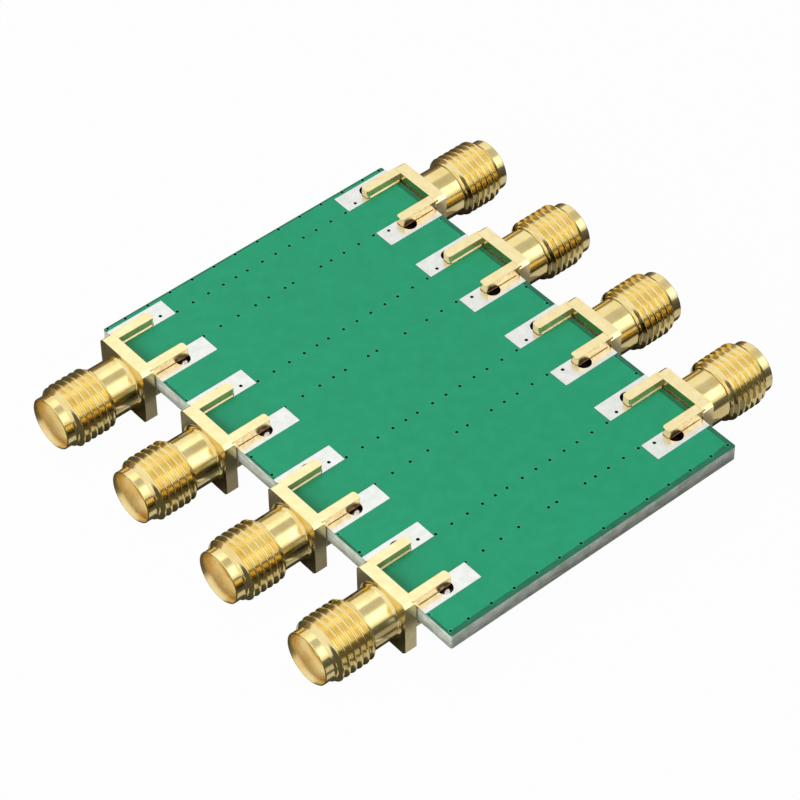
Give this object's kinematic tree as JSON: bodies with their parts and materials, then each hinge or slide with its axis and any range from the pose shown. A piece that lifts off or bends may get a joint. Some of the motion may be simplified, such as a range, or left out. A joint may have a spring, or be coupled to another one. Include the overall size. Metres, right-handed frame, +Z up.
{
  "type": "rf attenuator module",
  "caption": "Green printed board with gold edge-launch coaxial jacks along both long edges, a straight path from each left jack to the right one, and chip resistors underneath.",
  "frame": {"origin": "centre of the footprint, on the surface that the eight flanges stand on", "axes": "+X along the signal path from the left jacks to the right ones, +Y towards channel 1, +Z up, with the component side of the board down"},
  "size_m": [0.0528, 0.0484, 0.0063],
  "materials": {
    "gold_plated_brass": "bright gold plating on turned brass",
    "gold_plated_contact": "bright gold plating on copper alloy",
    "fluoropolymer": "white fluoropolymer, turned",
    "solder_mask": "green gloss solder mask over glass laminate",
    "chip_ceramic": "dark glaze on ceramic with tinned ends",
    "solder": "bright tin solder"
  },
  "bodies": {
    "root": {"circuit_board": "solder_mask", "left_jack_body_1": "gold_plated_brass", "left_insulator_1": "fluoropolymer", "left_contact_1": "gold_plated_contact", "left_jack_body_2": "gold_plated_brass", "left_insulator_2": "fluoropolymer", "left_contact_2": "gold_plated_contact", "left_jack_body_3": "gold_plated_brass", "left_insulator_3": "fluoropolymer", "left_contact_3": "gold_plated_contact", "left_jack_body_4": "gold_plated_brass", "left_insulator_4": "fluoropolymer", "left_contact_4": "gold_plated_contact", "right_jack_body_1": "gold_plated_brass", "right_insulator_1": "fluoropolymer", "right_contact_1": "gold_plated_contact", "right_jack_body_2": "gold_plated_brass", "right_insulator_2": "fluoropolymer", "right_contact_2": "gold_plated_contact", "right_jack_body_3": "gold_plated_brass", "right_insulator_3": "fluoropolymer", "right_contact_3": "gold_plated_contact", "right_jack_body_4": "gold_plated_brass", "right_insulator_4": "fluoropolymer", "right_contact_4": "gold_plated_contact", "link_resistor_1": "chip_ceramic", "series_resistor_2": "chip_ceramic", "shunt_resistor_2a": "chip_ceramic", "shunt_resistor_2b": "chip_ceramic", "series_resistor_3": "chip_ceramic", "shunt_resistor_3a": "chip_ceramic", "shunt_resistor_3b": "chip_ceramic", "series_resistor_4": "chip_ceramic", "shunt_resistor_4a": "chip_ceramic", "shunt_resistor_4b": "chip_ceramic", "leg_solder": "solder", "tail_solder": "solder", "resistor_solder": "solder"}
  },
  "joints": []
}
